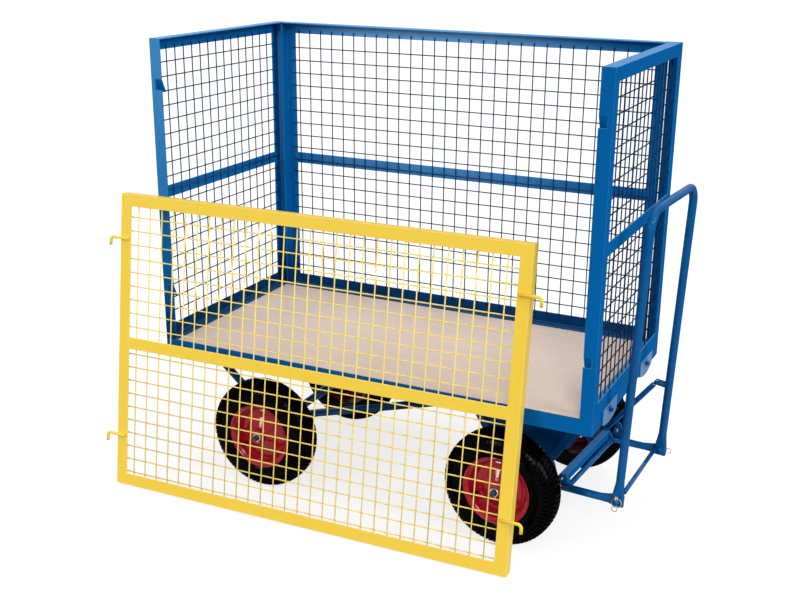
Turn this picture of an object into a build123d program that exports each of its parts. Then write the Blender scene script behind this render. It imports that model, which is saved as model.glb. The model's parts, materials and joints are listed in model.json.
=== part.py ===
from build123d import *
import os
from math import cos, hypot, radians, sin

# A platform truck with a steered front bogie, a mesh cage on three sides, a loose gate that leans
# against its open side and an upright loop handle. X runs to the handle, Y to the back, Z up.
platform_length = 1500
platform_width = 750
deck_top = 495
rim_depth = 50
cage_height = 1000
angle_leg = 40
steel = 4
board_thickness = 12
board_margin = 42
rail_height = 500

column_pitch = 45.5
row_pitch = 46.2
mesh_start = {"left": (76, 922), "right": (76, 913), "back": (57, 910), "gate": (76, 924)}
wire_radius = 2
wire_gap = 0.05
wire_lap = 12

pocket_lips = (160, 840)
pocket_width = 26
pocket_height = 34
pocket_depth = 18
pocket_drop = 8
pocket_cheek = 3

end_plate_offset = 210
end_plate_half = 72
end_plate_drop = 13

gate_corner = (-859.5, -554.8)
gate_turn = 1.69
gate_lean = 7.79
hook_heights = (176, 853)
hook_radius = 5
hook_reach = 36
hook_drop = 28

axle_height = 189
axle_radius = 10
axle_half = 368
washer_radius = 14.5
wheel_offset = 305
tyre_radius = 189
tyre_half = 50
tyre_wall = 9
hub_bore = axle_radius + 0.06

rear_axle_x = -408
hanger_offset = 225
hanger_spread = 300
leg_radius = 13
brace_offset = 195
brace_end_x = 235

kingpin_x = 477
kingpin_radius = 12
race_outer = 150
race_inner = 130
bed_top = 413
bed_half_length = 220
bed_half_width = 165
hanger_half = 214
hanger_boss = 64
hanger_border = 18
hanger_dish = 12
hanger_steel = 6
bogie_web_offset = 150
rest_steer = -4

cheek_top = (102, 228)
cheek_elbow = (112, 186)
crossbar_x = 155
crossbar_height = 205
crossbar_size = 24
crossbar_half = 187
knuckle_steel = 8
tie_spot = (177, 186)
tie_radius = 8.5

handle_pin_x = 342
handle_pin_height = 184
handle_pin_radius = 7
handle_offset = 205
handle_radius = 13
handle_top = (377, 1090)
handle_bend = 62
handle_tab = 64
arm_radius = 12
arm_start = 160
arm_tab = 62
tab_thickness = 7.5
tab_shift = 4
handle_brace_near = (359, -203, 217)
handle_brace_far = (325, 199, 188)
handle_brace_radius = 7
strut_foot = (148, 214)
strut_head = (309, 423)
strut_radius = 9
rod_radius = 4.5
foot_pin_radius = 6

half_length = platform_length / 2
half_width = platform_width / 2
board_bottom = deck_top - board_thickness
rim_bottom = deck_top - rim_depth
centre_low = (Align.CENTER, Align.CENTER, Align.MIN)

bogie_place = Location((kingpin_x, 0, 0), (0, 0, rest_steer))
pieces = {}


def keep(label, *shapes, place=Location()):
    solids = [solid for shape in shapes for solid in (place * shape).solids()]
    pieces[label] = solids[0] if len(solids) == 1 else Compound(solids)


def rod(start, end, radius, mode=Mode.ADD):
    run = Vector(end) - Vector(start)
    with Locations(Plane(origin=start, z_dir=run)):
        Cylinder(radius, run.length, align=centre_low, mode=mode)


def across(radius, near, far, x, z, mode=Mode.ADD):
    rod((x, near, z), (x, far, z), radius, mode)


# Angle iron with mitred ends: its face lies on the sketch plane, its flange stands along the outer edge.
def angle_member(length, depth=angle_leg):
    with BuildPart() as member:
        with BuildSketch():
            with BuildLine():
                Polyline((0, 0), (length, 0), (length - angle_leg, angle_leg), (angle_leg, angle_leg), close=True)
            make_face()
        extrude(amount=depth)
        with BuildSketch(Plane.XY.offset(steel)):
            with Locations((length / 2, steel)):
                Rectangle(length, angle_leg, align=(Align.CENTER, Align.MIN))
        extrude(amount=depth, mode=Mode.SUBTRACT)
    return member.part


# The four members of a panel, in turn round it, and the flat rail across its middle.
def panel_members(width):
    corners = ((0, 0), (width, 0), (width, cage_height), (0, cage_height))
    members = []
    for side, corner in enumerate(corners):
        length = cage_height if side % 2 else width
        members.append(Location((*corner, 0), (0, 0, 90 * side)) * angle_member(length))
    with BuildPart() as rail:
        with Locations((width / 2, rail_height, steel / 2)):
            Box(width - 2 * angle_leg, angle_leg, steel)
    members.append(rail.part)
    return members


# An upright whose flange is notched above each lip, where the gate's hooks drop in.
def notched(member, edge):
    with BuildPart() as upright:
        add(member)
        with Locations(*[(edge, lip, angle_leg) for lip in pocket_lips]):
            Box(
                3 * steel,
                pocket_height,
                2 * pocket_width,
                align=(Align.CENTER, Align.MIN, Align.CENTER),
                mode=Mode.SUBTRACT,
            )
    return upright.part


# Upright wires lie on the panel's inner face and level wires lie across them. The sheet is cut from a
# longer one, so its first column and its top row are given.
def wire_sheet(width, first_column, top_row):
    columns = int((width - angle_leg - first_column) // column_pitch) + 1
    rows = int((top_row - angle_leg) // row_pitch) + 1
    first_layer = steel + wire_gap + wire_radius
    second_layer = first_layer + wire_gap + 2 * wire_radius
    inset = 2 * (angle_leg - wire_lap)
    upright_places = [
        (first_column + column * column_pitch, cage_height / 2, first_layer) for column in range(columns)
    ]
    level_places = [(width / 2, top_row - row * row_pitch, second_layer) for row in range(rows)]
    with BuildPart() as sheet:
        with Locations(*upright_places):
            Cylinder(wire_radius, cage_height - inset, rotation=(90, 0, 0))
        with Locations(*level_places):
            Cylinder(wire_radius, width - inset, rotation=(0, 90, 0))
    return sheet.part


# Platform rim: a flanged member on three sides and a front member with a ledge below deck level.
back_rim = Plane(origin=(-half_length, half_width, deck_top), x_dir=(1, 0, 0), z_dir=(0, 0, -1))
left_rim = Plane(origin=(-half_length, -half_width - angle_leg, deck_top), x_dir=(0, 1, 0), z_dir=(0, 0, -1))
with BuildPart() as side_rim:
    add(left_rim * angle_member(platform_width + angle_leg, rim_depth))
    split(bisect_by=Plane.ZX.offset(steel - half_width), keep=Keep.TOP)
with BuildPart() as front_rim:
    with Locations((0, -half_width, rim_bottom)):
        Box(platform_length, steel, rim_depth, align=(Align.CENTER, Align.MIN, Align.MIN))
    with Locations((0, -half_width + steel, board_bottom)):
        Box(
            platform_length - 2 * steel,
            angle_leg,
            steel,
            align=(Align.CENTER, Align.MIN, Align.MAX),
        )
keep(
    "platform_rim",
    back_rim * angle_member(platform_length, rim_depth),
    side_rim.part,
    mirror(side_rim.part, about=Plane.YZ),
    front_rim.part,
)

# Deck board, let in between the flanges.
board_front = -half_width + steel + 1
board_back = half_width - board_margin
with BuildPart() as deck_board:
    with Locations((0, board_front, board_bottom)):
        Box(
            platform_length - 2 * board_margin,
            board_back - board_front,
            board_thickness,
            align=(Align.CENTER, Align.MIN, Align.MIN),
        )
keep("deck_board", deck_board.part)

# Cross members: folded channels, open below, that reach from the front ledge to the back web.
cross_places = {
    "first": -690,
    "second": -400,
    "third": -98,
    "fourth": brace_end_x,
    "fifth": 395,
    "sixth": 560,
}
cross_front = -half_width + steel + angle_leg
cross_back = half_width - steel
for name, place_x in cross_places.items():
    with BuildPart() as cross_member:
        with BuildSketch(Plane.XZ.offset(-cross_back)):
            with Locations((place_x, board_bottom)):
                Rectangle(50, board_bottom - rim_bottom, align=(Align.CENTER, Align.MAX))
            with Locations((place_x, board_bottom - steel)):
                Rectangle(50 - 2 * steel, rim_depth, align=(Align.CENTER, Align.MAX), mode=Mode.SUBTRACT)
        extrude(amount=cross_back - cross_front)
    keep(name + "_cross_member", cross_member.part)

# Cage panels. The front upright of each end panel has the gate's pockets.
left_panel = Plane(origin=(-half_length, -half_width, deck_top), x_dir=(0, 1, 0), z_dir=(1, 0, 0))
right_panel = Plane(origin=(half_length, half_width, deck_top), x_dir=(0, -1, 0), z_dir=(-1, 0, 0))
back_width = platform_length - 2 * board_margin
back_panel = Plane(origin=(-back_width / 2, half_width, deck_top), x_dir=(1, 0, 0), z_dir=(0, -1, 0))
left_members = panel_members(platform_width)
left_members[3] = notched(left_members[3], 0)
right_members = panel_members(platform_width)
right_members[1] = notched(right_members[1], platform_width)
keep("left_panel_frame", *left_members, place=left_panel.location)
keep("right_panel_frame", *right_members, place=right_panel.location)
keep("back_panel_frame", *panel_members(back_width), place=back_panel.location)
keep("left_panel_mesh", wire_sheet(platform_width, *mesh_start["left"]), place=left_panel.location)
keep("right_panel_mesh", wire_sheet(platform_width, *mesh_start["right"]), place=right_panel.location)
keep("back_panel_mesh", wire_sheet(back_width, *mesh_start["back"]), place=back_panel.location)

# Gate pockets: a tongue that slopes inwards behind each notch, with a cheek on the corner's side.
pocket_side = Plane.YZ.offset(-half_length + angle_leg - pocket_width)
pocket_back = -half_width + steel
with BuildPart() as pocket:
    with BuildSketch(pocket_side):
        with BuildLine():
            Polyline(
                (-half_width, pocket_height),
                (pocket_back, pocket_height),
                (pocket_back + pocket_depth, -pocket_drop),
                (-half_width + pocket_depth, -pocket_drop),
                close=True,
            )
        make_face()
    extrude(amount=pocket_width)
    with BuildSketch(pocket_side):
        with BuildLine():
            Polyline(
                (-half_width, pocket_height),
                (-half_width + pocket_depth, -pocket_drop),
                (pocket_back, -pocket_drop),
                (pocket_back, 0),
                (-half_width, 0),
                close=True,
            )
        make_face()
    extrude(amount=pocket_cheek)
pockets = [Pos(0, 0, deck_top + lip) * pocket.part for lip in pocket_lips]
keep("gate_pockets", *pockets, *[mirror(one, about=Plane.YZ) for one in pockets])

# End plates bolted to the rim at the handle end, each with an upright slot and a round lower edge.
end_plate_left = end_plate_offset - end_plate_half
end_plate_right = end_plate_offset + end_plate_half
with BuildPart() as end_plate:
    with BuildSketch(Plane.YZ.offset(half_length)):
        with BuildLine():
            Polyline(
                (end_plate_left, rim_bottom),
                (end_plate_left, deck_top - 2),
                (end_plate_right, deck_top - 2),
                (end_plate_right, rim_bottom),
            )
            ThreePointArc(
                (end_plate_right, rim_bottom),
                (end_plate_offset, rim_bottom - end_plate_drop),
                (end_plate_left, rim_bottom),
            )
        make_face()
        with Locations((end_plate_offset, deck_top - 24)):
            SlotOverall(32, 13, rotation=90, mode=Mode.SUBTRACT)
    extrude(amount=5)
keep("end_plates", end_plate.part, mirror(end_plate.part, about=Plane.XZ))

# Gate: a panel like the back one, turned a little and leaning on the left front upright.
turn = radians(gate_turn)
lean = radians(gate_lean)
along = Vector(cos(turn), sin(turn), 0)
gate_depth = Vector(-sin(turn) * cos(lean), cos(turn) * cos(lean), -sin(lean))
gate_foot = Vector(*gate_corner, angle_leg * sin(lean)) + along * back_width
gate_plane = Plane(origin=gate_foot, x_dir=along * -1, z_dir=gate_depth)
with BuildPart() as hook:
    with BuildLine():
        FilletPolyline(
            (32, 0, -hook_radius),
            (-hook_reach, 0, -hook_radius),
            (-hook_reach, -hook_drop, -hook_radius),
            radius=2.4 * hook_radius,
        )
    with BuildSketch(Plane(origin=(32, 0, -hook_radius), z_dir=(-1, 0, 0))):
        Circle(hook_radius)
    sweep()
hooks = [Pos(0, height, 0) * hook.part for height in hook_heights]
far_hooks = [Pos(back_width, 0, 0) * mirror(one, about=Plane.YZ) for one in hooks]
keep("gate_frame", *panel_members(back_width), place=gate_plane.location)
keep("gate_mesh", wire_sheet(back_width, *mesh_start["gate"]), place=gate_plane.location)
keep("gate_hooks", *hooks, *far_hooks, place=gate_plane.location)

# Rear running gear: a fixed axle in two welded hangers, each a sleeve, two splayed legs and a long brace.
with BuildPart() as rear_axle:
    across(axle_radius, -axle_half, axle_half, rear_axle_x, axle_height)
keep("rear_axle", rear_axle.part)
brace_end = (brace_end_x, brace_offset, 388)
with BuildPart() as rear_hanger:
    across(22, hanger_offset - 47, hanger_offset + 15, rear_axle_x, axle_height)
    for spread in (-hanger_spread, hanger_spread):
        rod(
            (rear_axle_x + spread * 0.05, hanger_offset, axle_height + 13),
            (rear_axle_x + spread * 1.05, hanger_offset, rim_bottom + 13),
            leg_radius,
        )
    rod((rear_axle_x, brace_offset, 203), brace_end, leg_radius)
    with BuildSketch(Plane.XZ.offset(-brace_offset)):
        with Locations((brace_end_x, 388)):
            Circle(24)
        with Locations((brace_end_x, rim_bottom)):
            Rectangle(70, 12, align=(Align.CENTER, Align.MAX))
        make_hull()
    extrude(amount=3, both=True)
    with Locations((0, 0, rim_bottom)):
        Box(2 * platform_length, 2 * platform_width, rim_depth, align=centre_low, mode=Mode.SUBTRACT)
    across(axle_radius + 0.02, 0, half_width, rear_axle_x, axle_height, mode=Mode.SUBTRACT)
keep("left_rear_hanger", rear_hanger.part)
keep("right_rear_hanger", mirror(rear_hanger.part, about=Plane.XZ))

# Turntable: a plate and race under the platform, the kingpin through it, and the bed plate that turns below.
upper_race_bottom = bed_top + 12
upper_plate_bottom = rim_bottom - 8
with BuildPart() as turntable:
    with Locations((kingpin_x, 0, upper_plate_bottom)):
        Box(290, 320, 8, align=centre_low)
    with Locations((kingpin_x, 0, upper_race_bottom)):
        Cylinder(race_outer, upper_plate_bottom - upper_race_bottom, align=centre_low)
        Cylinder(race_inner, upper_plate_bottom - upper_race_bottom, align=centre_low, mode=Mode.SUBTRACT)
        Cylinder(kingpin_radius + 0.02, rim_depth, align=centre_low, mode=Mode.SUBTRACT)
keep("turntable_plate", turntable.part)
with BuildPart() as kingpin:
    with Locations((kingpin_x, 0, bed_top - 24)):
        Cylinder(24, 14, align=centre_low)
        Cylinder(kingpin_radius, rim_bottom - bed_top + 24, align=centre_low)
keep("kingpin", kingpin.part)
with BuildPart() as bed_plate:
    with BuildSketch(Plane.XY.offset(bed_top - 8)):
        RectangleRounded(2 * bed_half_length, 2 * bed_half_width, 20)
    extrude(amount=8)
    with Locations((0, 0, bed_top)):
        Cylinder(race_outer, 11.5, align=centre_low)
        Cylinder(race_inner, 11.5, align=centre_low, mode=Mode.SUBTRACT)
    Cylinder(kingpin_radius + 0.06, 2 * deck_top, mode=Mode.SUBTRACT)
keep("bogie_bed_plate", bed_plate.part, place=bogie_place)

# Bogie hangers: webs that narrow from the bed plate to the axle, dished inwards behind a flat border.
bed_bottom = bed_top - 8
web_plane = Plane.XZ.offset(-bogie_web_offset)
with BuildPart() as bogie_hanger:
    with BuildSketch(web_plane) as web:
        with Locations((0, axle_height)):
            Circle(hanger_boss)
        with Locations((0, bed_bottom)):
            Rectangle(2 * hanger_half, hanger_steel, align=(Align.CENTER, Align.MAX))
        make_hull()
    extrude(amount=-hanger_steel)
    with BuildSketch(web_plane):
        add(web.sketch_local)
        offset(amount=-hanger_border, mode=Mode.REPLACE)
    extrude(amount=hanger_dish)
    with BuildSketch(web_plane.offset(-hanger_steel)):
        add(web.sketch_local)
        offset(amount=-hanger_border - hanger_steel, mode=Mode.REPLACE)
    extrude(amount=hanger_dish, mode=Mode.SUBTRACT)
    across(axle_radius + 0.02, 0, half_width, 0, axle_height, mode=Mode.SUBTRACT)
keep("left_bogie_hanger", bogie_hanger.part, place=bogie_place)
keep("right_bogie_hanger", mirror(bogie_hanger.part, about=Plane.XZ), place=bogie_place)
with BuildPart() as front_axle:
    across(axle_radius, -axle_half, axle_half, 0, axle_height)
keep("front_axle", front_axle.part, place=bogie_place)

# Cheek plates, bent from the hangers' front edges to run under the crossbar, a channel open to the rear.
cheek_plane = web_plane.offset(-hanger_steel - 0.1)
crossbar_front = crossbar_x + crossbar_size / 2
crossbar_bottom = crossbar_height - crossbar_size / 2
with BuildPart() as cheek:
    with BuildSketch(cheek_plane):
        with Locations(cheek_top):
            Circle(12)
        with Locations(cheek_elbow):
            Circle(14)
        make_hull()
        with Locations((crossbar_front, crossbar_bottom - 0.05)):
            Rectangle(crossbar_front - cheek_elbow[0], 20.95, align=Align.MAX)
    extrude(amount=-hanger_steel)
keep("left_cheek", cheek.part, place=bogie_place)
keep("right_cheek", mirror(cheek.part, about=Plane.XZ), place=bogie_place)
with BuildPart() as crossbar:
    with BuildSketch(Plane.XZ.offset(-crossbar_half)):
        with Locations((crossbar_x, crossbar_height)):
            Rectangle(crossbar_size, crossbar_size)
        with Locations((crossbar_x - steel, crossbar_height)):
            Rectangle(crossbar_size, crossbar_size - 2 * steel, mode=Mode.SUBTRACT)
    extrude(amount=2 * crossbar_half)
keep("drawbar_crossbar", crossbar.part, place=bogie_place)

# Drawbar frame: a knuckle plate at each end of the crossbar, a tie tube between them, and two arms whose
# ends are pressed flat for the handle pins.
arm_end = handle_pin_x - arm_tab
tab_end = 28
with BuildPart() as drawbar:
    for side in (-1, 1):
        arm_offset = side * handle_offset
        arm_tab_offset = arm_offset + tab_shift
        with BuildSketch(Plane.XZ.offset(-side * crossbar_half)):
            with Locations((crossbar_x, crossbar_height)):
                Rectangle(crossbar_size, crossbar_size)
            with Locations((tie_spot[0] - tie_radius, handle_pin_height)):
                Rectangle(2 * arm_radius, 2 * arm_radius)
            make_hull()
        extrude(amount=-side * knuckle_steel)
        rod((arm_start, arm_offset, handle_pin_height), (arm_end, arm_offset, handle_pin_height), arm_radius)
        with BuildSketch(Plane.YZ.offset(arm_end)):
            with Locations((arm_offset, handle_pin_height)):
                Circle(arm_radius)
        with BuildSketch(Plane.YZ.offset(handle_pin_x - tab_end)):
            with Locations((arm_tab_offset, handle_pin_height)):
                RectangleRounded(tab_thickness, 32, 3.6)
        loft()
        with BuildSketch(Plane.XZ.offset(-arm_tab_offset)):
            with Locations((handle_pin_x, handle_pin_height)):
                Circle(16)
                Rectangle(tab_end, 32, align=(Align.MAX, Align.CENTER))
        extrude(amount=tab_thickness / 2, both=True)
    across(tie_radius, -crossbar_half - 3, crossbar_half + 3, *tie_spot)
    across(handle_pin_radius + 0.02, -half_width, half_width, handle_pin_x, handle_pin_height, mode=Mode.SUBTRACT)

    # The far knuckle reaches back to the strut's foot pin, and a gusset stands outside the strut.
    with BuildSketch(Plane.XZ.offset(-crossbar_half)):
        with Locations(strut_foot):
            Circle(13)
        with Locations((crossbar_x, crossbar_height)):
            Rectangle(crossbar_size, crossbar_size)
        make_hull()
    extrude(amount=-knuckle_steel)
    across(foot_pin_radius, crossbar_half + 3, handle_offset + 10, *strut_foot)
    across(foot_pin_radius + 3, handle_offset + 10, handle_offset + 13.5, *strut_foot)
    with BuildSketch(Plane.XZ.offset(-handle_offset - 11)):
        with Locations((188, handle_pin_height)):
            Rectangle(40, 2 * arm_radius)
        with Locations((186, handle_pin_height + 50)):
            Circle(11)
        make_hull()
    extrude(amount=-5)
keep("drawbar_frame", drawbar.part, place=bogie_place)

# Handle pins with inner heads, each kept by a lynch pin with a ring.
pin_head_face = handle_offset - tab_shift - tab_thickness / 2 - 0.4
pin_tip = handle_offset + 21
lynch_offset = handle_offset + 14.5
ring_radius = 15
with BuildPart() as handle_pin:
    across(handle_pin_radius, pin_head_face, pin_tip, handle_pin_x, handle_pin_height)
    across(handle_pin_radius + 2, pin_head_face - 5, pin_head_face, handle_pin_x, handle_pin_height)
    with Locations((handle_pin_x, lynch_offset, handle_pin_height)):
        Cylinder(3.6, rim_depth, mode=Mode.SUBTRACT)
keep("handle_pins", handle_pin.part, mirror(handle_pin.part, about=Plane.XZ), place=bogie_place)
with BuildPart() as lynch_pin:
    with Locations((handle_pin_x, lynch_offset, handle_pin_height + ring_radius)):
        Box(9, 9, 14)
        Cylinder(3.5, 2 * ring_radius - 3, align=(Align.CENTER, Align.CENTER, Align.MAX))
    rod(
        (handle_pin_x - 10, lynch_offset, handle_pin_height + ring_radius),
        (handle_pin_x + 10, lynch_offset, handle_pin_height + ring_radius),
        3.2,
        mode=Mode.SUBTRACT,
    )
keep("lynch_pins", lynch_pin.part, mirror(lynch_pin.part, about=Plane.XZ), place=bogie_place)
with BuildPart() as lynch_ring:
    with BuildSketch(Plane.XZ.offset(-lynch_offset)):
        with Locations((handle_pin_x, handle_pin_height)):
            Circle(ring_radius + 1.2)
            Circle(ring_radius - 1.2, mode=Mode.SUBTRACT)
    extrude(amount=1.2, both=True)
keep("far_lynch_ring", lynch_ring.part, place=bogie_place)
keep("near_lynch_ring", mirror(lynch_ring.part, about=Plane.XZ), place=bogie_place)

# Handle: one bent tube whose ends are pressed flat round the pins.
top_x, top_height = handle_top
handle_run = Vector(top_x - handle_pin_x, 0, top_height - handle_pin_height).normalized()
handle_pin_point = Vector(handle_pin_x, 0, handle_pin_height)
leg_foot = handle_pin_point + handle_run * handle_tab
tab_width = 38
tab_rise = 22
tab_fall = 15
tab_top = handle_pin_point + handle_run * tab_rise
tab_across = Vector(handle_run.Z, 0, -handle_run.X)
with BuildPart() as handle:
    with BuildLine() as handle_line:
        FilletPolyline(
            leg_foot + Vector(0, -handle_offset, 0),
            Vector(top_x, -handle_offset, top_height),
            Vector(top_x, handle_offset, top_height),
            leg_foot + Vector(0, handle_offset, 0),
            radius=handle_bend,
        )
    with BuildSketch(Plane(origin=leg_foot + Vector(0, -handle_offset, 0), z_dir=handle_run)):
        Circle(handle_radius)
    sweep()
    for side in (-1, 1):
        to_leg = Vector(0, side * handle_offset, 0)
        to_tab = Vector(0, side * handle_offset - tab_shift, 0)
        with BuildSketch(Plane(origin=leg_foot + to_leg, x_dir=(0, 1, 0), z_dir=handle_run)):
            Circle(handle_radius)
        with BuildSketch(Plane(origin=tab_top + to_tab, x_dir=(0, 1, 0), z_dir=handle_run)):
            RectangleRounded(tab_thickness, tab_width, 3.6)
        loft()
        with BuildSketch(Plane(origin=handle_pin_point + to_tab, x_dir=tab_across, z_dir=(0, -1, 0))) as tab:
            with Locations((0, tab_rise)):
                Rectangle(tab_width, tab_rise + tab_fall, align=(Align.CENTER, Align.MAX))
            fillet(tab.vertices().group_by(Axis.Y)[0], 4)
        extrude(amount=tab_thickness / 2, both=True)
    across(handle_pin_radius + 0.05, -half_width, half_width, handle_pin_x, handle_pin_height, mode=Mode.SUBTRACT)
keep("handle_loop", handle.part, place=bogie_place)
with BuildPart() as handle_brace:
    rod(handle_brace_near, handle_brace_far, handle_brace_radius)
    add(handle.part, mode=Mode.SUBTRACT)
keep("handle_brace", handle_brace.part, place=bogie_place)

# Strut bracket: two ears on the far leg, either side of the strut's eye.
ear_gap = 13
head_x, head_height = strut_head
with BuildPart() as bracket:
    for side in (-1, 1):
        with BuildSketch(Plane.XZ.offset(-handle_offset - side * (ear_gap + 3) / 2)):
            with Locations((head_x, head_height)):
                Circle(7)
            with Locations((head_x + 30, head_height - 4)):
                Rectangle(6, 14)
            make_hull()
        extrude(amount=1.5, both=True)
    rod(
        Vector(handle_pin_x, handle_offset, handle_pin_height),
        Vector(top_x, handle_offset, top_height),
        handle_radius + 0.02,
        mode=Mode.SUBTRACT,
    )
keep("strut_bracket", bracket.part, place=bogie_place)

# Strut: a tube hinged on the far knuckle's foot pin and a rod that slides in it.
foot_x, foot_height = strut_foot
strut_length = hypot(head_x - foot_x, head_height - foot_height)
strut_run = Vector(head_x - foot_x, 0, head_height - foot_height).normalized()
strut_origin = Vector(foot_x, handle_offset, foot_height)
tube_end = strut_length - 14
with BuildPart() as strut_tube:
    rod(strut_origin + strut_run * 8, strut_origin + strut_run * tube_end, strut_radius)
    across(12, handle_offset - 8, handle_offset + 8, foot_x, foot_height)
    across(foot_pin_radius + 0.05, crossbar_half, half_width, foot_x, foot_height, mode=Mode.SUBTRACT)
    rod(strut_origin + strut_run * 40, strut_origin + strut_run * strut_length, rod_radius + 0.06, mode=Mode.SUBTRACT)
keep("strut_tube", strut_tube.part, place=bogie_place)
with BuildPart() as strut_rod:
    rod(strut_origin + strut_run * 46, strut_origin + strut_run * (strut_length - 4), rod_radius)
    across(6, handle_offset - 4, handle_offset + 4, head_x, head_height)
keep("strut_rod", strut_rod.part, place=bogie_place)

# Wheels, drawn with the axle along Y and the outer side at +Y. The rim is a dished disc in a flanged barrel.
disc = 4
with BuildPart() as rim:
    with BuildSketch(Plane.YZ):
        with BuildLine():
            Polyline(
                (-46, hub_bore),
                (-46, 26),
                (34 - disc, 26),
                (14 - disc, 97),
                (-41, 97),
                (-45, 112),
                (-38, 101),
                (38, 101),
                (45, 112),
                (41, 97),
                (14, 97),
                (34, 26),
                (52, 26),
                (52, hub_bore),
                close=True,
            )
        make_face()
    revolve(axis=Axis.Y)
tyre_inner = tyre_radius - tyre_wall
with BuildPart() as tyre:
    with BuildSketch(Plane.YZ):
        with BuildLine():
            Line((0, tyre_radius), (24, tyre_radius))
            ThreePointArc((24, tyre_radius), (36, 184.5), (44, 174))
            ThreePointArc((44, 174), (tyre_half, 146), (46, 116))
            Polyline((46, 116), (37, 101.5), (27, 101.5), (37, 118))
            ThreePointArc((37, 118), (tyre_half - tyre_wall, 146), (36, 168))
            ThreePointArc((36, 168), (30, 176), (21, tyre_inner))
            Line((21, tyre_inner), (0, tyre_inner))
            mirror(about=Plane.YZ)
        make_face()
    revolve(axis=Axis.Y)
with BuildPart() as washer:
    with BuildSketch(Plane.XZ.offset(-53)):
        Circle(washer_radius)
        Circle(axle_radius + 0.02, mode=Mode.SUBTRACT)
    extrude(amount=-4)
far_side = Pos(0, wheel_offset, axle_height)
near_side = Location((0, -wheel_offset, axle_height), (0, 0, 180))
axle_places = {"rear": Pos(rear_axle_x, 0, 0), "front": bogie_place}
for axle, axle_place in axle_places.items():
    for side, wheel_place in {"near": near_side, "far": far_side}.items():
        name = axle + "_" + side
        keep(name + "_rim", rim.part, place=axle_place * wheel_place)
        keep(name + "_tyre", tyre.part, place=axle_place * wheel_place)
    keep(axle + "_axle_washers", near_side * washer.part, far_side * washer.part, place=axle_place)

# Everything moves so that the origin is under the middle of the whole, on the floor.
overall = Compound([solid for piece in pieces.values() for solid in piece.solids()]).bounding_box()
frame_shift = Pos(-overall.center().X, -overall.center().Y, 0)
os.makedirs("parts", exist_ok=True)
for label, piece in pieces.items():
    placed = frame_shift * piece
    placed.label = label
    export_step(placed, "parts/" + label + ".step")
print(len(pieces), "pieces, shift", overall.center(), "size", overall.size)
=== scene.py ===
import bpy
import bmesh
import json
import math
from mathutils import Matrix, Vector

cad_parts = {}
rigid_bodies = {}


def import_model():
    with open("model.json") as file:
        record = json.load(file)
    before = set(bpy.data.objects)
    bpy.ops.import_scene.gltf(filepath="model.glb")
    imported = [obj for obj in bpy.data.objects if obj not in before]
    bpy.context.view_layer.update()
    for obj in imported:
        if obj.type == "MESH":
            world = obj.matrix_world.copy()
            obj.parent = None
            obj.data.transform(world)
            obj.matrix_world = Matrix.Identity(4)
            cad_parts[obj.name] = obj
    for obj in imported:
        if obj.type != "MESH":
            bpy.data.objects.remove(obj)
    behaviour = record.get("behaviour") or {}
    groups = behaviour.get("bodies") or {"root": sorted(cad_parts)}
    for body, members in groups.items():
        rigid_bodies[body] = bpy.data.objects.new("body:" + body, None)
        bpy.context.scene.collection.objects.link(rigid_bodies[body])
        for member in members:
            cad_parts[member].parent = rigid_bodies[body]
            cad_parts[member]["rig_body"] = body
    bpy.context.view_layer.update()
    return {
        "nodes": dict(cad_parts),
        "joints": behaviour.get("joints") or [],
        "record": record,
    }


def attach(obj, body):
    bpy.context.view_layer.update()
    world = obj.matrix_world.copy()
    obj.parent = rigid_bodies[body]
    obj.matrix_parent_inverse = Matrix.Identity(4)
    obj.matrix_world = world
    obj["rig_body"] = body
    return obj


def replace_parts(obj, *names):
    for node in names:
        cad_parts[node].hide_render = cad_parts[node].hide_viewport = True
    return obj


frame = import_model()
nodes = frame["nodes"]
joints = {joint["name"]: joint for joint in frame["joints"]}
scene = bpy.context.scene
print("frame loaded,", len(nodes), "nodes")

# running gear on the platform's own axes, in metres from its middle and the floor
gear = {"kingpin": 0.477, "rearAxle": -0.408, "axleHeight": 0.189, "wheelOffset": 0.305}

# the kingpin fixes the platform's middle and the bogie's own axes
steerAt = Vector(joints["bogie_steer"]["pos_m"])
platformAt = Matrix.Translation((steerAt.x - gear["kingpin"], steerAt.y, 0))
foldAxis = Vector(joints["handle_fold"]["axis"])
bogieTurn = math.atan2(-foldAxis.x, foldAxis.y)
bogieAt = Matrix.Translation((steerAt.x, steerAt.y, 0)) @ Matrix.Rotation(bogieTurn, 4, "Z")
rearAt = platformAt @ Matrix.Translation((gear["rearAxle"], 0, 0))


# a socket in a material: sums and products of it add Math nodes
class Socket:
    def __init__(self, finish, link):
        self.finish = finish
        self.link = link

    def join(self, kind, other, swap=False):
        pair = {0: other, 1: self} if swap else {0: self, 1: other}
        return self.finish.add("Math", {"operation": kind}, pair)

    def __add__(self, other):
        return self.join("ADD", other)

    def __radd__(self, other):
        return self.join("ADD", other, True)

    def __sub__(self, other):
        return self.join("SUBTRACT", other)

    def __rsub__(self, other):
        return self.join("SUBTRACT", other, True)

    def __mul__(self, other):
        return self.join("MULTIPLY", other)

    def __rmul__(self, other):
        return self.join("MULTIPLY", other, True)


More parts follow.
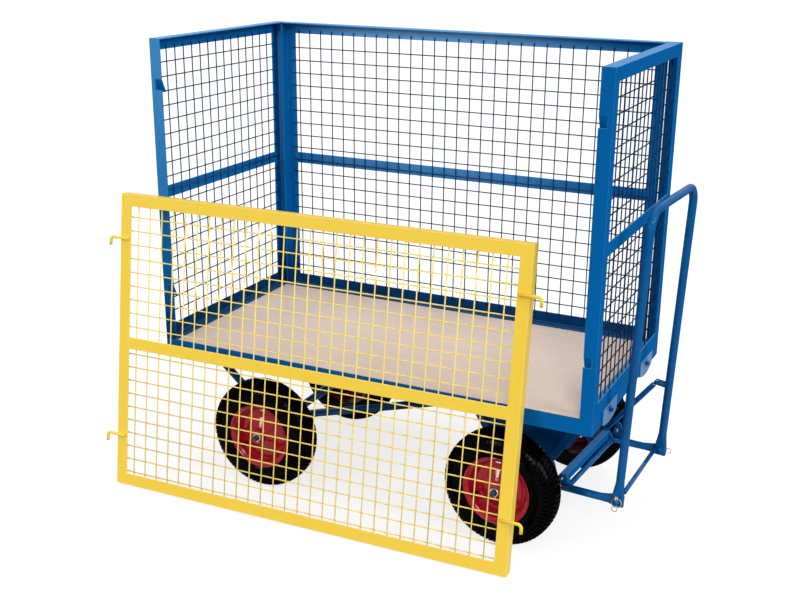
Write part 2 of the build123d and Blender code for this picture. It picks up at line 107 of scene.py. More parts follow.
class Finish:
    def __init__(self, name, fixed):
        self.material = bpy.data.materials.new(name)
        self.material.use_nodes = True
        self.tree = self.material.node_tree
        self.shader = self.tree.nodes["Principled BSDF"]
        for socket, value in fixed.items():
            self.shader.inputs[socket].default_value = value
        self.at = self.add("TexCoord", {}, {}, "Object")

    # one node: its settings first, then the values or links of its sockets
    def add(self, kind, settings, values, output=0):
        node = self.tree.nodes.new("ShaderNode" + kind)
        for key, value in settings.items():
            setattr(node, key, value)
        for key, value in values.items():
            if isinstance(value, Socket):
                self.tree.links.new(value.link, node.inputs[key])
            else:
                node.inputs[key].default_value = value
        return Socket(self, node.outputs[output])

    def noise(self, scale, detail=3, rough=0.5, at=None):
        values = {"Vector": at or self.at, "Scale": scale, "Detail": detail, "Roughness": rough}
        return self.add("TexNoise", {}, values, "Fac")

    def stretched(self, x, y, z):
        return self.add("Mapping", {}, {"Vector": self.at, "Scale": (x, y, z)})

    # 0 below low, 1 above high
    def ramp(self, value, low, high):
        values = {"Value": value, "From Min": low, "From Max": high}
        return self.add("MapRange", {"interpolation_type": "SMOOTHSTEP"}, values, "Result")

    def blend(self, mask, first, second):
        return self.add("Mix", {"data_type": "RGBA"}, {0: mask, 6: first, 7: second}, 2)

    def vector(self, kind, first, second=(0, 0, 0), output=0):
        return self.add("VectorMath", {"operation": kind}, {0: first, 1: second}, output)

    def axis(self, vector, letter):
        return self.add("SeparateXYZ", {}, {"Vector": vector}, letter)

    def attribute(self, name):
        return self.add("Attribute", {"attribute_name": name}, {}, "Fac")

    def ray(self, kind):
        return self.add("LightPath", {}, {}, kind)

    def bump(self, height, distance, strength=1.0):
        values = {"Strength": strength, "Distance": distance, "Height": height}
        return self.add("Bump", {}, values, "Normal")

    def feed(self, **links):
        for socket, value in links.items():
            self.tree.links.new(value.link, self.shader.inputs[socket.replace("_", " ").title()])
        return self.material


# a screen colour from 0 to 255 as the shader's linear colour
def rgb(red, green, blue):
    def linear(c):
        return ((c / 255 + 0.055) / 1.055) ** 2.4 if c > 10 else c / 255 / 12.92

    return (linear(red), linear(green), linear(blue), 1)


# what every paint shares: noise scales for each metre, and where a mask starts and is full
coatWear = {
    "driftScale": 2.2, "peelScale": 520, "peelDepth": 0.00018, "dustScale": 34, "dusty": (0.52, 0.78),
    "chipScale": 90, "chipped": (0.46, 0.6), "topFaces": (0.6, 0.95), "frontFaces": (0.6, 0.9),
    # the next keys set painted shade low down and painted light higher up on the frames
    "inwardFaces": (0.1, 0.3), "paintedShade": 0.85, "paintedShadeHeight": (0.50, 0.78), "paintedLightHeight": (0.7, 1.45),
    "paintedLightIn": 0.4, "paintedLightOut": 0.6, "coreRadius": (0.0068, 0.0078), "clearRough": 0.05,
}


# powder coat: slow drift of tone, fine orange peel, paler rubbed edges and a little dust
def powderCoat(name, look):
    wear = coatWear
    coat = Finish(name, {
        "Specular IOR Level": look["shine"], "Coat Roughness": look.get("haze", wear["clearRough"]),
    })
    drift = coat.noise(wear["driftScale"], 2)
    peel = coat.noise(wear["peelScale"], 2)
    dust = coat.ramp(coat.noise(wear["dustScale"], 5, 0.62), *wear["dusty"])
    chips = coat.ramp(coat.noise(wear["chipScale"], 4, 0.7), *wear["chipped"])
    edge = coat.attribute("edge")
    faced = coat.add("TexCoord", {}, {}, "Normal")
    onTop = coat.ramp(coat.axis(faced, "Z"), *wear["topFaces"])
    tone = coat.blend(drift, rgb(*look["deep"]), rgb(*look["plain"]))
    # painted shade: faces marked in the shade attribute are painted darker
    if "shade" in look:
        tone = coat.blend(coat.attribute("shade"), tone, rgb(*look["shade"]))
    # painted sheen: up-facing faces are painted paler
    if "crown" in look:
        tone = coat.blend(onTop, tone, rgb(*look["crown"]))
    # painted shade: faces turned the look's inwards way are painted darker low down, towards the deck
    if "low" in look:
        height = coat.axis(coat.at, "Z")
        inwards = coat.ramp(coat.vector("DOT_PRODUCT", faced, look["inwards"], "Value"), *wear["inwardFaces"])
        paintedShade = inwards * (wear["paintedShade"] - wear["paintedShade"] * coat.ramp(height, *wear["paintedShadeHeight"]))
        tone = coat.blend(paintedShade, tone, rgb(*look["low"]))
        # painted light: front faces are painted paler higher up, within the span along X
        if "high" in look:
            frontal = coat.ramp(coat.vector("DOT_PRODUCT", faced, (0, -1, 0), "Value"), *wear["frontFaces"])
            along = coat.axis(coat.at, "X")
            first, last = look["span"]
            begun = coat.ramp(along, first, first + wear["paintedLightIn"])
            within = begun * (1 - coat.ramp(along, last - wear["paintedLightOut"], last))
            paintedLight = frontal * coat.ramp(height, *wear["paintedLightHeight"]) * within
            tone = coat.blend(paintedLight, tone, rgb(*look["high"]))
    if "core" in look:
        middle, line = look["line"]
        across = coat.vector("CROSS_PRODUCT", coat.vector("SUBTRACT", coat.at, middle), line)
        radius = coat.vector("LENGTH", across, output="Value")
        tone = coat.blend(coat.ramp(radius, *wear["coreRadius"]), rgb(*look["core"]), tone)
    worn = coat.blend(edge * (0.25 + 0.45 * chips), tone, rgb(*look["edge"]))
    final = coat.blend(dust * look["dust"], worn, rgb(*look["pale"]))
    return coat.feed(
        base_color=final,
        roughness=look["rough"] + 0.1 * dust + 0.06 * drift,
        coat_weight=look["gloss"] * (1 - 0.6 * dust) + look.get("polish", 0) * onTop,
        normal=coat.bump(peel + 0.4 * chips * edge, wear["peelDepth"]),
    )


# its crown colour is a painted sheen on up-facing faces
bluePaint = powderCoat("bluePaint", {
    "deep": (0, 88, 154), "plain": (0, 102, 172), "edge": (46, 126, 190), "pale": (40, 112, 172),
    "crown": (72, 136, 194),
    "rough": 0.3, "shine": 0.0, "gloss": 0.06, "polish": 0.45, "haze": 0.48, "dust": 0.12,
})
# painted shade: a darker copy of the blue paint for the parts under the platform
underShadePaint = powderCoat("underShadePaint", {
    "deep": (0, 62, 116), "plain": (0, 76, 138), "edge": (46, 116, 178), "pale": (30, 92, 150),
    "rough": 0.26, "shine": 0.1, "gloss": 0.08, "dust": 0.14,
})
# the two inner frames get painted shade low down where they meet the deck, a painted sheen on their top
# faces, and painted light on their upper front faces
cageLook = {
    "deep": (0, 90, 156), "plain": (0, 104, 174), "edge": (46, 126, 190), "pale": (40, 112, 172),
    "crown": (72, 136, 194), "low": (0, 40, 84), "inwards": (0.6, -0.8, 0.6),
    "rough": 0.3, "shine": 0.01, "gloss": 0.08, "polish": 0.45, "haze": 0.48, "dust": 0.12,
}
leftPaint = powderCoat("leftPaint", {**cageLook, "high": (62, 134, 194), "span": (-5, 5)})
backPaint = powderCoat("backPaint", {
    **cageLook, "high": (100, 164, 222),
    "span": (platformAt.translation.x - 0.74, platformAt.translation.x + 0.64),
})
# axles: dark steel with paint on the middle of the end
axleLook = {
    "deep": (10, 14, 20), "plain": (18, 22, 30), "edge": (90, 96, 104), "pale": (40, 44, 50),
    "rough": 0.3, "shine": 0.2, "gloss": 0.1, "dust": 0.2,
}
axleMiddle = Vector((0, 0, gear["axleHeight"]))
rearAxlePaint = powderCoat("rearAxlePaint", {
    **axleLook, "core": (22, 32, 66), "line": (rearAt @ axleMiddle, (0, 1, 0)),
})
frontAxlePaint = powderCoat("frontAxlePaint", {
    **axleLook, "core": (20, 76, 138), "line": (bogieAt @ axleMiddle, foldAxis),
})
# the platform's edge gets painted shade on its top faces, along the deck
rimPaint = powderCoat("rimPaint", {
    "deep": (0, 88, 154), "plain": (0, 102, 172), "edge": (46, 126, 190), "pale": (40, 112, 172),
    "low": (0, 40, 84), "inwards": (0, 0, 1),
    "rough": 0.3, "shine": 0.0, "gloss": 0.08, "polish": 0.3, "haze": 0.45, "dust": 0.12,
})
# painted shade: a slightly darker, glossier copy of the blue paint for the handle and drawbar
pullShadePaint = powderCoat("pullShadePaint", {
    "deep": (0, 76, 136), "plain": (0, 92, 154), "edge": (46, 126, 190), "pale": (36, 104, 162),
    "rough": 0.3, "shine": 0.0, "gloss": 0.2, "polish": 0.3, "dust": 0.1,
})
# painted sheen: a paler copy of the blue paint for the end plates, and its heavy pale dust is painted sheen
# too
plateSheenPaint = powderCoat("plateSheenPaint", {
    "deep": (14, 102, 166), "plain": (34, 118, 182), "edge": (90, 156, 208), "pale": (84, 144, 196),
    "rough": 0.34, "shine": 0.1, "gloss": 0.1, "dust": 0.5,
})
yellowPaint = powderCoat("yellowPaint", {
    "deep": (238, 200, 60), "plain": (244, 209, 78), "edge": (252, 230, 140), "pale": (248, 226, 140),
    "rough": 0.34, "shine": 0.15, "gloss": 0.03, "dust": 0.12,
})
redPaint = powderCoat("redPaint", {
    "deep": (144, 8, 28), "plain": (178, 18, 42), "edge": (216, 90, 104), "pale": (184, 48, 64),
    "shade": (66, 8, 26), "rough": 0.26, "shine": 0.04, "gloss": 0.6, "dust": 0.05,
})
# painted shade: darker copies of the blue paint for the thin mesh wires
wireShadePaint = powderCoat("wireShadePaint", {
    "deep": (24, 48, 84), "plain": (34, 62, 98), "edge": (56, 92, 138), "pale": (54, 80, 116),
    "rough": 0.34, "shine": 0.1, "gloss": 0.0, "dust": 0.1,
})
rightWireShadePaint = powderCoat("rightWireShadePaint", {
    "deep": (0, 38, 76), "plain": (6, 54, 98), "edge": (46, 96, 150), "pale": (30, 74, 120),
    "rough": 0.34, "shine": 0.03, "gloss": 0.0, "dust": 0.1,
})
gateWire = powderCoat("gateWire", {
    "deep": (244, 214, 104), "plain": (249, 226, 126), "edge": (250, 236, 168), "pale": (246, 230, 166),
    "rough": 0.36, "shine": 0.12, "gloss": 0.0, "dust": 0.12,
})

deckLook = {
    "pale": (232, 213, 200), "plain": (222, 202, 188), "fleck": (186, 160, 142),
    "grainScale": 6, "grainStretch": (0.5, 9, 9), "fibreScale": 60, "fibreStretch": (0.35, 5, 5),
    "cloudScale": 3.2, "streaks": (0.3, 0.7), "flecks": (0.58, 0.75), "relief": 0.00025,
}


# deck board: faint long grain, finer flecks and a dull film
def deckFinish():
    look = deckLook
    board = Finish("deckPly", {"Specular IOR Level": 0.25})
    grain = board.noise(look["grainScale"], 6, 0.6, board.stretched(*look["grainStretch"]))
    fibre = board.noise(look["fibreScale"], 4, 0.65, board.stretched(*look["fibreStretch"]))
    cloud = board.noise(look["cloudScale"], 2)
    streaks = board.ramp(0.55 * grain + 0.45 * cloud, *look["streaks"])
    tone = board.blend(streaks, rgb(*look["plain"]), rgb(*look["pale"]))
    return board.feed(
        base_color=board.blend(0.4 * board.ramp(fibre, *look["flecks"]), tone, rgb(*look["fleck"])),
        roughness=0.46 + 0.16 * fibre,
        normal=board.bump(fibre + grain, look["relief"], 0.6),
    )


rubberLook = {
    "black": (3, 3, 3), "bloom": (13, 13, 14), "bloomScale": 16, "bloomed": (0.5, 0.8),
    "skinScale": 420, "skinDepth": 0.0003, "gloss": 0.07, "haze": 0.16,
}


# tyre rubber: near black with a grey bloom that gathers in patches
def rubberFinish():
    look = rubberLook
    rubber = Finish("tyreRubber", {
        "Specular IOR Level": 0.0, "Coat Weight": look["gloss"], "Coat Roughness": look["haze"],
    })
    bloom = rubber.ramp(rubber.noise(look["bloomScale"], 5, 0.65), *look["bloomed"])
    skin = rubber.noise(look["skinScale"], 3)
    return rubber.feed(
        base_color=rubber.blend(bloom, rgb(*look["black"]), rgb(*look["bloom"])),
        roughness=0.24 + 0.2 * bloom + 0.08 * skin,
        normal=rubber.bump(skin, look["skinDepth"], 0.5),
    )


zincLook = {
    "zincPlate": {"bright": (205, 206, 208), "warm": (190, 186, 172)},
    "ringSteel": {"bright": (156, 154, 150), "warm": (116, 110, 100)},
    "cloudScale": 60, "clouded": (0.35, 0.7),
    "streakScale": 700, "streakStretch": (1, 1, 0.1), "relief": 0.00008,
}


# zinc plate: slightly warm passivation with fine streaks
def zincFinish(name):
    look = zincLook
    zinc = Finish(name, {"Metallic": 1.0})
    cloud = zinc.ramp(zinc.noise(look["cloudScale"], 4, 0.6), *look["clouded"])
    streak = zinc.noise(look["streakScale"], 2, 0.5, zinc.stretched(*look["streakStretch"]))
    return zinc.feed(
        base_color=zinc.blend(cloud, rgb(*look[name]["bright"]), rgb(*look[name]["warm"])),
        roughness=0.2 + 0.16 * cloud + 0.08 * streak,
        normal=zinc.bump(streak, look["relief"], 0.5),
    )


deckPly = deckFinish()
tyreRubber = rubberFinish()
zincPlate = zincFinish("zincPlate")
ringSteel = zincFinish("ringSteel")
print("materials made")


# smooth is the angle in degrees above which an edge stays sharp, 0 for flat faces
def piece(name, bm, body, material, smooth):
    mesh = bpy.data.meshes.new(name)
    bm.to_mesh(mesh)
    bm.free()
    mesh.polygons.foreach_set("use_smooth", [smooth > 0] * len(mesh.polygons))
    if smooth:
        mesh.set_sharp_from_angle(angle=math.radians(smooth))
    mesh.materials.append(material)
    made = bpy.data.objects.new(name, mesh)
    scene.collection.objects.link(made)
    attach(made, body)
    return made


# adds a small bmesh, moved into place, to a larger one
def putInto(whole, part, place):
    bmesh.ops.transform(part, matrix=place, verts=part.verts)
    carried = bpy.data.meshes.new("carried")
    part.to_mesh(carried)
    part.free()
    whole.from_mesh(carried)
    bpy.data.meshes.remove(carried)


rollLook = {"merge": 2e-6, "flat": math.radians(1), "corner": math.radians(50), "smooth": 42}


# a CAD node with its corners rolled: its own shape, merged and bevelled, in place of the bare solid
def rolledCopy(node, material, roll):
    bm = bmesh.new()
    bm.from_mesh(nodes[node].data)
    bmesh.ops.remove_doubles(bm, verts=bm.verts, dist=rollLook["merge"])
    edge = bm.faces.layers.float.new("edge")
    if roll:
        bmesh.ops.dissolve_limit(bm, angle_limit=rollLook["flat"], verts=bm.verts, edges=bm.edges)
        # where two bars meet in a mitre, the pair of faces inside the weld goes
        inside = {}
        for face in bm.faces:
            inside.setdefault(frozenset(v.index for v in face.verts), []).append(face)
        welded = [face for pair in inside.values() if len(pair) == 2 for face in pair]
        if welded:
            bmesh.ops.delete(bm, geom=welded, context="FACES")
            bmesh.ops.dissolve_limit(bm, angle_limit=rollLook["flat"], verts=bm.verts, edges=bm.edges)
        corners = [e for e in bm.edges if e.is_manifold and e.calc_face_angle(0) > rollLook["corner"]]
        rolled = bmesh.ops.bevel(
            bm, geom=corners, offset=roll, offset_type="OFFSET", segments=2, profile=0.5,
            affect="EDGES", clamp_overlap=True, material=-1,
        )
        for face in rolled["faces"]:
            face[edge] = 1.0
    smooth = 0 if roll else rollLook["smooth"]
    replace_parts(piece(node + ".rolled", bm, nodes[node]["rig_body"], material, smooth), node)


paints = {
    "blue_paint": bluePaint, "yellow_paint": yellowPaint, "red_paint": redPaint,
    "plywood": deckPly, "tyre_rubber": tyreRubber, "zinc": zincPlate,
}
slotOf = {entry["node"]: entry["material_slot"] for entry in frame["record"]["subparts"]}
for name, cad in nodes.items():
    cad.data.materials.clear()
    cad.data.materials.append(paints[slotOf[name]])

# rolled corners in metres, by how the real piece is made; 0 only smooths the round faces
rolls = {
    "platform_rim": 0.0012, "left_panel_frame": 0.0012, "right_panel_frame": 0.0012,
    "back_panel_frame": 0.0012, "gate_frame": 0.0012, "end_plates": 0.0008, "gate_pockets": 0.0006,
    "deck_board": 0.0008, "left_panel_mesh": 0, "right_panel_mesh": 0, "back_panel_mesh": 0,
    "gate_mesh": 0, "gate_hooks": 0, "left_rear_hanger": 0, "right_rear_hanger": 0,
    "left_bogie_hanger": 0.0008, "right_bogie_hanger": 0.0008, "handle_loop": 0, "handle_brace": 0,
    "drawbar_frame": 0, "drawbar_crossbar": 0.0008, "left_cheek": 0.0008, "right_cheek": 0.0008,
    "strut_tube": 0, "strut_rod": 0, "strut_bracket": 0, "rear_axle": 0, "front_axle": 0,
    "handle_pins": 0, "lynch_pins": 0, "bogie_bed_plate": 0, "turntable_plate": 0, "kingpin": 0,
    **{name: 0.001 for name in nodes if name.endswith("_cross_member")},
}
# pieces whose paint isn't their slot's own
ownPaints = {
    "platform_rim": rimPaint, "end_plates": plateSheenPaint,
    "left_panel_frame": leftPaint, "back_panel_frame": backPaint,
    "left_panel_mesh": wireShadePaint, "back_panel_mesh": wireShadePaint, "right_panel_mesh": rightWireShadePaint,
    "gate_mesh": gateWire, "rear_axle": rearAxlePaint, "front_axle": frontAxlePaint,
    "left_rear_hanger": underShadePaint, "right_rear_hanger": underShadePaint,
    "left_bogie_hanger": underShadePaint, "right_bogie_hanger": underShadePaint,
    "bogie_bed_plate": underShadePaint, "turntable_plate": underShadePaint,
    "left_cheek": underShadePaint, "right_cheek": underShadePaint, "handle_pins": bluePaint,
    "handle_loop": pullShadePaint, "handle_brace": pullShadePaint, "drawbar_frame": pullShadePaint,
    "strut_tube": pullShadePaint, "strut_bracket": pullShadePaint,
    **{name: underShadePaint for name in nodes if name.endswith("_cross_member")},
}
for name, roll in rolls.items():
    rolledCopy(name, ownPaints.get(name, paints[slotOf[name]]), roll)
print("rolled copies made")


# turns what is in a bmesh once round the Y axis
def spinRound(bm, steps):
    bmesh.ops.spin(
        bm, geom=bm.verts[:] + bm.edges[:], cent=(0, 0, 0), axis=(0, 1, 0), dvec=(0, 0, 0),
        angle=2 * math.pi, steps=steps, use_merge=True, use_duplicate=False,
    )
    bmesh.ops.remove_doubles(bm, verts=bm.verts, dist=1e-6)
    bmesh.ops.recalc_face_normals(bm, faces=bm.faces)
    return bm


# a closed outline of points (y, radius), spun
def spun(points, steps):
    bm = bmesh.new()
    verts = [bm.verts.new((0, y, r)) for y, r in points]
    for first, second in zip(verts, verts[1:] + verts[:1]):
        bm.edges.new((first, second))
    return spinRound(bm, steps)


# the rows of lugs end at these distances from the tyre's middle plane
tyreLook = {
    "lugs": 72, "lugHeight": 0.005, "lugTop": 0.9, "rowEnds": (0.008, 0.019, 0.028, 0.0355),
    "treadRadius": 0.150, "treadSide": 0.0462, "smooth": 32,
}


def tyreMesh():
    lift = tyreLook["lugHeight"]
    crown = gear["axleHeight"] - lift
    half = [
        (0.0, crown), (0.008, crown), (0.019, crown - 0.0008), (0.028, crown - 0.0035),
        (0.0355, crown - 0.0085), (0.042, crown - 0.017), (0.0462, crown - 0.028), (0.0482, 0.147),
        (0.0487, 0.140), (0.0478, 0.131), (0.0482, 0.1292), (0.0478, 0.1275), (0.0455, 0.1185),
        (0.0425, 0.1135), (0.0385, 0.1105), (0.036, 0.1022),
    ]
    steps = 2 * tyreLook["lugs"]
    bm = spun(half + [(-y, r) for y, r in reversed(half[1:])], steps)

    # every second face of a row is a lug, and the next row is one step on
    lugs = []
    for face in bm.faces:
        spot = face.calc_center_median()
        side = abs(spot.y)
        if math.hypot(spot.x, spot.z) < tyreLook["treadRadius"] or side >= tyreLook["treadSide"]:
            continue
        turn = int((math.atan2(spot.x, spot.z) / (2 * math.pi) % 1) * steps)
        row = sum(side >= end for end in tyreLook["rowEnds"])
        shift = row % 2 + (1 if spot.y > 0 and row in (1, 2) else 0)
        if (turn + shift) % 2 == 0:
            lugs.append(face)
    raised = bmesh.ops.extrude_discrete_faces(bm, faces=lugs)
    bm.normal_update()
    for face in raised["faces"]:
        normal = face.normal.copy()
        middle = face.calc_center_median()
        for vert in face.verts:
            vert.co = middle + (vert.co - middle) * tyreLook["lugTop"] + normal * lift
    return bm


rimLook = {"steps": 72, "dullDepth": 0.032, "dullFacing": -0.3, "smooth": 34}


def rimMesh():
    outer = [
        (0.0525, 0.0102), (0.0525, 0.0235), (0.0515, 0.0255), (0.0385, 0.0265), (0.0358, 0.0295),
        (0.0342, 0.0335), (0.0333, 0.0354), (0.0227, 0.0581), (0.0216, 0.0605), (0.0205, 0.0640),
        (0.0198, 0.0690), (0.0186, 0.0790), (0.0160, 0.0860), (0.0135, 0.0905), (0.0138, 0.0935),
        (0.0175, 0.0958), (0.0300, 0.0968), (0.0360, 0.0978), (0.0402, 0.1020), (0.0418, 0.1062),
        (0.0448, 0.1090), (0.0470, 0.1108), (0.0462, 0.1124), (0.0436, 0.1122), (0.0405, 0.1102),
        (0.0375, 0.1015),
    ]
    inner = [
        (-0.0375, 0.1015), (-0.0405, 0.1102), (-0.0436, 0.1122), (-0.0462, 0.1124), (-0.0470, 0.1108),
        (-0.0418, 0.1062), (-0.0402, 0.1020), (-0.0360, 0.0978), (-0.0060, 0.0962), (0.0060, 0.0935),
        (0.0095, 0.0890), (0.0145, 0.0780), (0.0165, 0.0620), (0.0240, 0.0460), (0.0305, 0.0310),
        (0.0290, 0.0270), (-0.0440, 0.0265), (-0.0460, 0.0250), (-0.0460, 0.0102),
    ]
    bm = spun(outer + inner, rimLook["steps"])
    # painted shade: the side towards the frame is painted darker
    shade = bm.faces.layers.float.new("shade")
    for face in bm.faces:
        middle = face.calc_center_median()
        turnedIn = face.normal.y < rimLook["dullFacing"] and middle.y < rimLook["dullDepth"]
        face[shade] = 1.0 if middle.y < 0 or turnedIn else 0.0
    return bm


# a round length along Z inside a bmesh
def peg(bm, segments, radius, tip, depth):
    return bmesh.ops.create_cone(
        bm, cap_ends=True, segments=segments, radius1=radius, radius2=tip, depth=depth,
    )["verts"]


# steps are (start, end, radius) along the stem, and turns are each wheel's own, in radians
valveLook = {
    "steps": ((0, 0.016, 0.0042), (0.016, 0.019, 0.0034), (0.019, 0.029, 0.0040)), "taper": 0.92,
    "at": (0, 0.010, 0.080), "lean": math.radians(-80), "smooth": 30,
    "turns": {"rear_near": 2.2, "rear_far": 0.6, "front_near": 2.0, "front_far": 4.1},
}


# valve stem through the disc, near the well
def valveMesh(place, turn):
    valve = bmesh.new()
    for low, high, radius in valveLook["steps"]:
        part = peg(valve, 14, radius, radius * valveLook["taper"], high - low)
        bmesh.ops.translate(valve, verts=part, vec=(0, 0, (low + high) / 2))
    spot = Matrix.Rotation(turn, 4, "Y") @ Matrix.Translation(valveLook["at"])
    stem = spot @ Matrix.Rotation(valveLook["lean"], 4, "X")
    bmesh.ops.transform(valve, matrix=place @ stem, verts=valve.verts)
    return valve


pinLook = {
    "shank": 0.0016, "length": 0.024, "leg": 0.0011, "legTip": 0.0008, "legLength": 0.007,
    "spread": 0.0018, "legDrop": -0.0142, "legLean": 0.6, "eye": 0.0028, "eyeHeight": 0.013,
    "at": (0, 0.0595, 0), "turn": 0.5, "smooth": 40,
}


# split pin through the axle's turned end
def splitPinMesh(place):
    look = pinLook
    pin = bmesh.new()
    peg(pin, 12, look["shank"], look["shank"], look["length"])
    for side in (-1, 1):
        leg = peg(pin, 8, look["leg"], look["legTip"], look["legLength"])
        foot = Matrix.Translation((side * look["spread"], 0, look["legDrop"]))
        lean = Matrix.Rotation(side * look["legLean"], 4, "Y")
        bmesh.ops.transform(pin, matrix=foot @ lean, verts=leg)
    eye = bmesh.ops.create_uvsphere(pin, u_segments=12, v_segments=8, radius=look["eye"])
    bmesh.ops.translate(pin, verts=eye["verts"], vec=(0, 0, look["eyeHeight"]))
    through = Matrix.Translation(look["at"]) @ Matrix.Rotation(look["turn"], 4, "Y")
    bmesh.ops.transform(pin, matrix=place @ through, verts=pin.verts)
    return pin


wheels = {
    "rear_near": (rearAt, -1, "trolley"), "rear_far": (rearAt, 1, "trolley"),
    "front_near": (bogieAt, -1, "bogie"), "front_far": (bogieAt, 1, "bogie"),
}
for name, (axle, side, carrier) in wheels.items():
    place = axle @ Matrix.Translation((0, side * gear["wheelOffset"], gear["axleHeight"]))
    if side < 0:
        place = place @ Matrix.Rotation(math.pi, 4, "Z")
    body = name + "_wheel"
    tyre = tyreMesh()
    bmesh.ops.transform(tyre, matrix=place, verts=tyre.verts)
    made = piece(name + ".treadTyre", tyre, body, tyreRubber, tyreLook["smooth"])
    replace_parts(made, name + "_tyre")
    rim = rimMesh()
    bmesh.ops.transform(rim, matrix=place, verts=rim.verts)
    made = piece(name + ".pressedRim", rim, body, redPaint, rimLook["smooth"])
    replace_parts(made, name + "_rim")
    valve = valveMesh(place, valveLook["turns"][name])
    piece(name + ".valveStem", valve, body, tyreRubber, valveLook["smooth"])
    piece(name + ".splitPin", splitPinMesh(place), carrier, zincPlate, pinLook["smooth"])

washerLook = {
    "outline": [
        (0.0532, 0.0102), (0.0532, 0.0140), (0.0540, 0.0145),
        (0.0560, 0.0145), (0.0570, 0.0139), (0.0570, 0.0102),
    ],
    "steps": 40, "smooth": 30,
}
for axle, base, carrier in (("rear", rearAt, "trolley"), ("front", bogieAt, "bogie")):
    washers = bmesh.new()
    for turn in (0, math.pi):
        hub = Matrix.Translation((0, 0, gear["axleHeight"])) @ Matrix.Rotation(turn, 4, "Z")
        hub = hub @ Matrix.Translation((0, gear["wheelOffset"], 0))
        putInto(washers, spun(washerLook["outline"], washerLook["steps"]), base @ hub)
    made = piece(axle + ".axleWashers", washers, carrier, zincPlate, washerLook["smooth"])
    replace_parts(made, axle + "_axle_washers")
print("wheels made")


def ringMesh(radius, wire):
    ring = bmesh.new()
    bmesh.ops.create_circle(ring, cap_ends=False, segments=12, radius=wire)
    bmesh.ops.rotate(ring, verts=ring.verts, cent=(0, 0, 0), matrix=Matrix.Rotation(math.pi / 2, 3, "Y"))
    bmesh.ops.translate(ring, verts=ring.verts, vec=(0, 0, radius))
    return spinRound(ring, 56)


# wire rings of the lynch pins, each with the thin loop that hangs on it
ringLook = {
    "radius": 0.015, "wire": 0.0018, "loop": 0.0085, "loopWire": 0.0011, "loopTurn": 0.08,
    "hang": {"near": (-0.0055, -0.0222), "far": (0.0225, -0.0040)},
    "ahead": 0.342, "offset": 0.2195, "height": 0.184, "smooth": 60,
}
for name, side in (("near", -1), ("far", 1)):
    ring = ringMesh(ringLook["radius"], ringLook["wire"])
    along, up = ringLook["hang"][name]
    loop = Matrix.Translation((along, 0, up)) @ Matrix.Rotation(ringLook["loopTurn"], 4, "Z")
    putInto(ring, ringMesh(ringLook["loop"], ringLook["loopWire"]), loop)
    spot = Matrix.Translation((ringLook["ahead"], side * ringLook["offset"], ringLook["height"]))
    bmesh.ops.transform(ring, matrix=bogieAt @ spot, verts=ring.verts)
    made = piece(name + ".wireRing", ring, name + "_ring", ringSteel, ringLook["smooth"])
    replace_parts(made, name + "_lynch_ring")


# hex head standing on +Z, with its washer and a domed stud end on all but the thinnest
def boltMesh(across, thick, washer, seat=0.002):
    corner = across / 1.732
    bm = bmesh.new()
    flat = peg(bm, 20, washer, washer * 0.97, seat)
    bmesh.ops.translate(bm, verts=flat, vec=(0, 0, seat / 2))
    head = peg(bm, 6, corner, corner, thick)
    bmesh.ops.translate(bm, verts=head, vec=(0, 0, seat + thick / 2))
    rims = list(dict.fromkeys(e for v in head for e in v.link_edges))
    bmesh.ops.bevel(
        bm, geom=rims, offset=thick * 0.15, offset_type="OFFSET", segments=2, profile=0.5,
        affect="EDGES", clamp_overlap=True, material=-1,
    )
    if thick > 0.002:
        tip = bmesh.ops.create_uvsphere(bm, u_segments=12, v_segments=6, radius=across * 0.3)
        bmesh.ops.scale(bm, verts=tip["verts"], vec=(1, 1, 0.5))
        bmesh.ops.translate(bm, verts=tip["verts"], vec=(0, 0, seat + thick))
    return bm


# painted bolts on the trolley's end plates and plated ones on the bogie: size, place and the way they face
boltLook = {
    "plate": {"across": 0.013, "thick": 0.006, "washer": 0.0085},
    "small": {"across": 0.009, "thick": 0.004, "washer": 0.0065},
    "flush": {"across": 0.011, "thick": 0.0006, "washer": 0.0085, "seat": 0.0006},
    "smooth": 30,
}
boltRows = {
    "trolley": (platformAt, bluePaint, "blue_paint", (
        ("plate", (0.755, -0.210, 0.471), (1, 0, 0)),
        ("plate", (0.755, 0.210, 0.471), (1, 0, 0)),
    )),
    "bogie": (bogieAt, zincPlate, "zinc", (
        ("small", (0.105, -0.1622, 0.229), (0, -1, 0)),
        ("small", (0.105, 0.1622, 0.229), (0, 1, 0)),
        ("small", (0.153, -0.195, 0.206), (0, -1, 0)),
        ("flush", (0.181, 0.216, 0.212), (0, -1, 0)),
    )),
}
for body, (base, finish, slot, row) in boltRows.items():
    bolts = bmesh.new()
    for size, spot, towards in row:
        facing = Vector((0, 0, 1)).rotation_difference(Vector(towards)).to_matrix().to_4x4()
        putInto(bolts, boltMesh(**boltLook[size]), base @ Matrix.Translation(spot) @ facing)
    piece(body + ".platedBolts", bolts, body, finish, boltLook["smooth"])
print("fasteners made")

floorLook = {"tone": 0.34, "shade": 0.33, "cloudScale": 0.6, "lift": 0.75, "mirrored": (1.2, 4.0), "size": 60}


# stage: a wide pale floor, which the camera and the reflections see as white where no shadow lies
def floorFinish():
    look = floorLook
    pale = Finish("studioFloor", {
        "Roughness": 0.9, "Specular IOR Level": 0.0, "Emission Strength": look["lift"],
    })
    cloud = pale.noise(look["cloudScale"], 2)
    away = pale.vector("LENGTH", pale.at, output="Value")
    mirrored = pale.ray("Is Glossy Ray") * (1 - pale.ramp(away, *look["mirrored"]))
    seen = pale.ray("Is Camera Ray")
    for ray in (mirrored, pale.ray("Is Transmission Ray")):
        seen = seen.join("MAXIMUM", ray)
    tone = pale.blend(cloud, (look["tone"],) * 3 + (1,), (look["shade"],) * 3 + (1,))
    return pale.feed(base_color=tone, emission_color=seen)


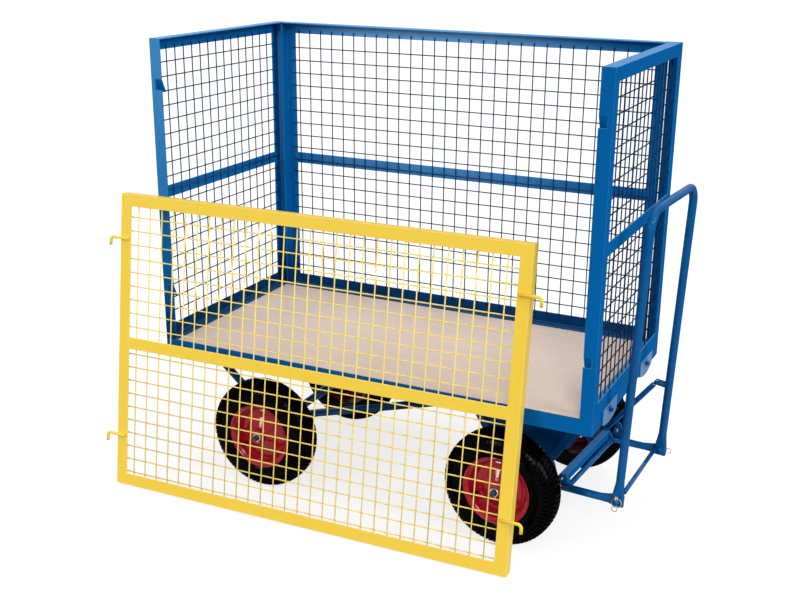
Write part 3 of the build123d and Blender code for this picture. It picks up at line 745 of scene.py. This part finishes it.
floorGrid = bmesh.new()
bmesh.ops.create_grid(floorGrid, x_segments=1, y_segments=1, size=floorLook["size"])
floorMesh = bpy.data.meshes.new("studioFloor")
floorGrid.to_mesh(floorMesh)
floorGrid.free()
floorMesh.materials.append(floorFinish())
studioFloor = bpy.data.objects.new("studioFloor", floorMesh)
scene.collection.objects.link(studioFloor)

# a white surround: full strength for what is seen, and less for what lights the trolley
surround = {"seen": 1.0, "lit": 0.36}
world = bpy.data.worlds.new("softSurround")
scene.world = world
world.use_nodes = True
sky = world.node_tree
glow = {"seen": sky.nodes["Background"], "lit": sky.nodes.new("ShaderNodeBackground")}
for name, node in glow.items():
    node.inputs["Color"].default_value = (1, 1, 1, 1)
    node.inputs["Strength"].default_value = surround[name]
path = sky.nodes.new("ShaderNodeLightPath")
whiteRays = path.outputs["Is Camera Ray"]
for ray in ("Is Glossy Ray", "Is Transmission Ray"):
    either = sky.nodes.new("ShaderNodeMath")
    either.operation = "MAXIMUM"
    sky.links.new(whiteRays, either.inputs[0])
    sky.links.new(path.outputs[ray], either.inputs[1])
    whiteRays = either.outputs[0]
mix = sky.nodes.new("ShaderNodeMixShader")
for socket, source in enumerate((whiteRays, glow["lit"].outputs[0], glow["seen"].outputs[0])):
    sky.links.new(source, mix.inputs[socket])
sky.links.new(mix.outputs[0], sky.nodes["World Output"].inputs["Surface"])

# soft suns: the way the light goes, its strength and how wide its disc is, in degrees
suns = {
    "keySun": ((-0.38, 0.76, -0.52), 0.9, 15),
    "fillSun": ((0.48, 0.82, -0.29), 0.78, 12),
    "sideSun": ((-0.88, 0.15, -0.45), 1.6, 30),
    "topSun": ((0.0, 0.1, -1.0), 0.92, 60),
}
for name, (towards, strength, width) in suns.items():
    light = bpy.data.lights.new(name, "SUN")
    light.energy = strength
    light.angle = math.radians(width)
    lamp = bpy.data.objects.new(name, light)
    lamp.rotation_euler = Vector(towards).to_track_quat("-Z", "Y").to_euler()
    scene.collection.objects.link(lamp)

# camera solved from the photograph, on the platform's own axes; focal is in the photograph's pixels
cameraLook = {
    "at": (1.5592, -3.2964, 1.8503), "yaw": -26.02, "pitch": -18.43, "roll": 0.49,
    "focal": 1138.7, "photoWidth": 800, "sensor": 36, "reach": 200,
}
yaw, pitch, roll = (math.radians(cameraLook[key]) for key in ("yaw", "pitch", "roll"))
ahead = Vector((math.sin(yaw) * math.cos(pitch), math.cos(yaw) * math.cos(pitch), math.sin(pitch)))
right = Vector((math.cos(yaw), -math.sin(yaw), 0))
above = right.cross(ahead)
rightRolled = right * math.cos(roll) + above * math.sin(roll)
aboveRolled = above * math.cos(roll) - right * math.sin(roll)
photoLens = bpy.data.cameras.new("photoCamera")
photoLens.sensor_width = cameraLook["sensor"]
photoLens.lens = cameraLook["sensor"] * cameraLook["focal"] / cameraLook["photoWidth"]
photoLens.clip_end = cameraLook["reach"]
camera = bpy.data.objects.new("photoCamera", photoLens)
facing = Matrix((rightRolled, aboveRolled, -ahead)).transposed().to_4x4()
camera.matrix_world = platformAt @ Matrix.Translation(cameraLook["at"]) @ facing
scene.collection.objects.link(camera)
scene.camera = camera
scene.view_settings.view_transform = "Standard"
print("stage set")
